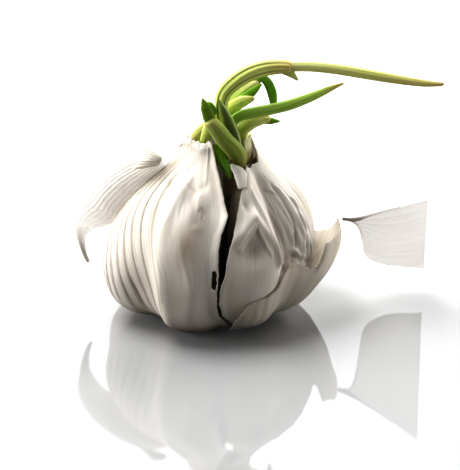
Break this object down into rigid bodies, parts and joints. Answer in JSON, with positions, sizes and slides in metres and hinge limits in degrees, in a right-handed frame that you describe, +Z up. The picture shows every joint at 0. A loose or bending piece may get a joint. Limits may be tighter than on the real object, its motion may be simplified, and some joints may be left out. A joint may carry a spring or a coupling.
{
  "type": "sprouting garlic bulb",
  "caption": "Garlic bulb with lobed cloves on a flat basal plate, split papery wrapper skins and green shoots at the neck.",
  "frame": {"origin": "centre of the basal plate's flat underside, on the surface that the bulb stands on", "axes": "+Z up through the neck, -Y towards the split side, +X towards the side that the long shoot leans to"},
  "size_m": [0.0939, 0.0555, 0.0668],
  "materials": {
    "paper_skin": "satin",
    "thin_skin": "satin",
    "dry_neck_skin": "matte",
    "clove_skin": "satin",
    "corky_plate": "matte",
    "shoot_sheath": "satin",
    "green_leaf": "satin"
  },
  "bodies": {
    "root": {"basal_plate": "corky_plate", "clove_front_left": "clove_skin", "clove_front_right": "clove_skin", "clove_right": "clove_skin", "clove_back_right": "clove_skin", "clove_back": "clove_skin", "clove_back_left": "clove_skin", "clove_left_back": "clove_skin", "clove_left": "clove_skin", "clove_inner_front": "clove_skin", "clove_inner_back": "clove_skin", "wrapper_left": "paper_skin", "wrapper_right": "paper_skin", "cup_skin": "paper_skin", "split_skin_tip": "paper_skin", "peeled_flap": "thin_skin", "wing_skin": "thin_skin", "torn_fan": "dry_neck_skin", "neck_sheath": "dry_neck_skin", "shoot_front": "shoot_sheath", "shoot_long": "shoot_sheath", "shoot_middle": "shoot_sheath", "shoot_short": "shoot_sheath", "shoot_left": "shoot_sheath", "shoot_bud": "green_leaf", "leaf_dark": "green_leaf"}
  },
  "joints": []
}
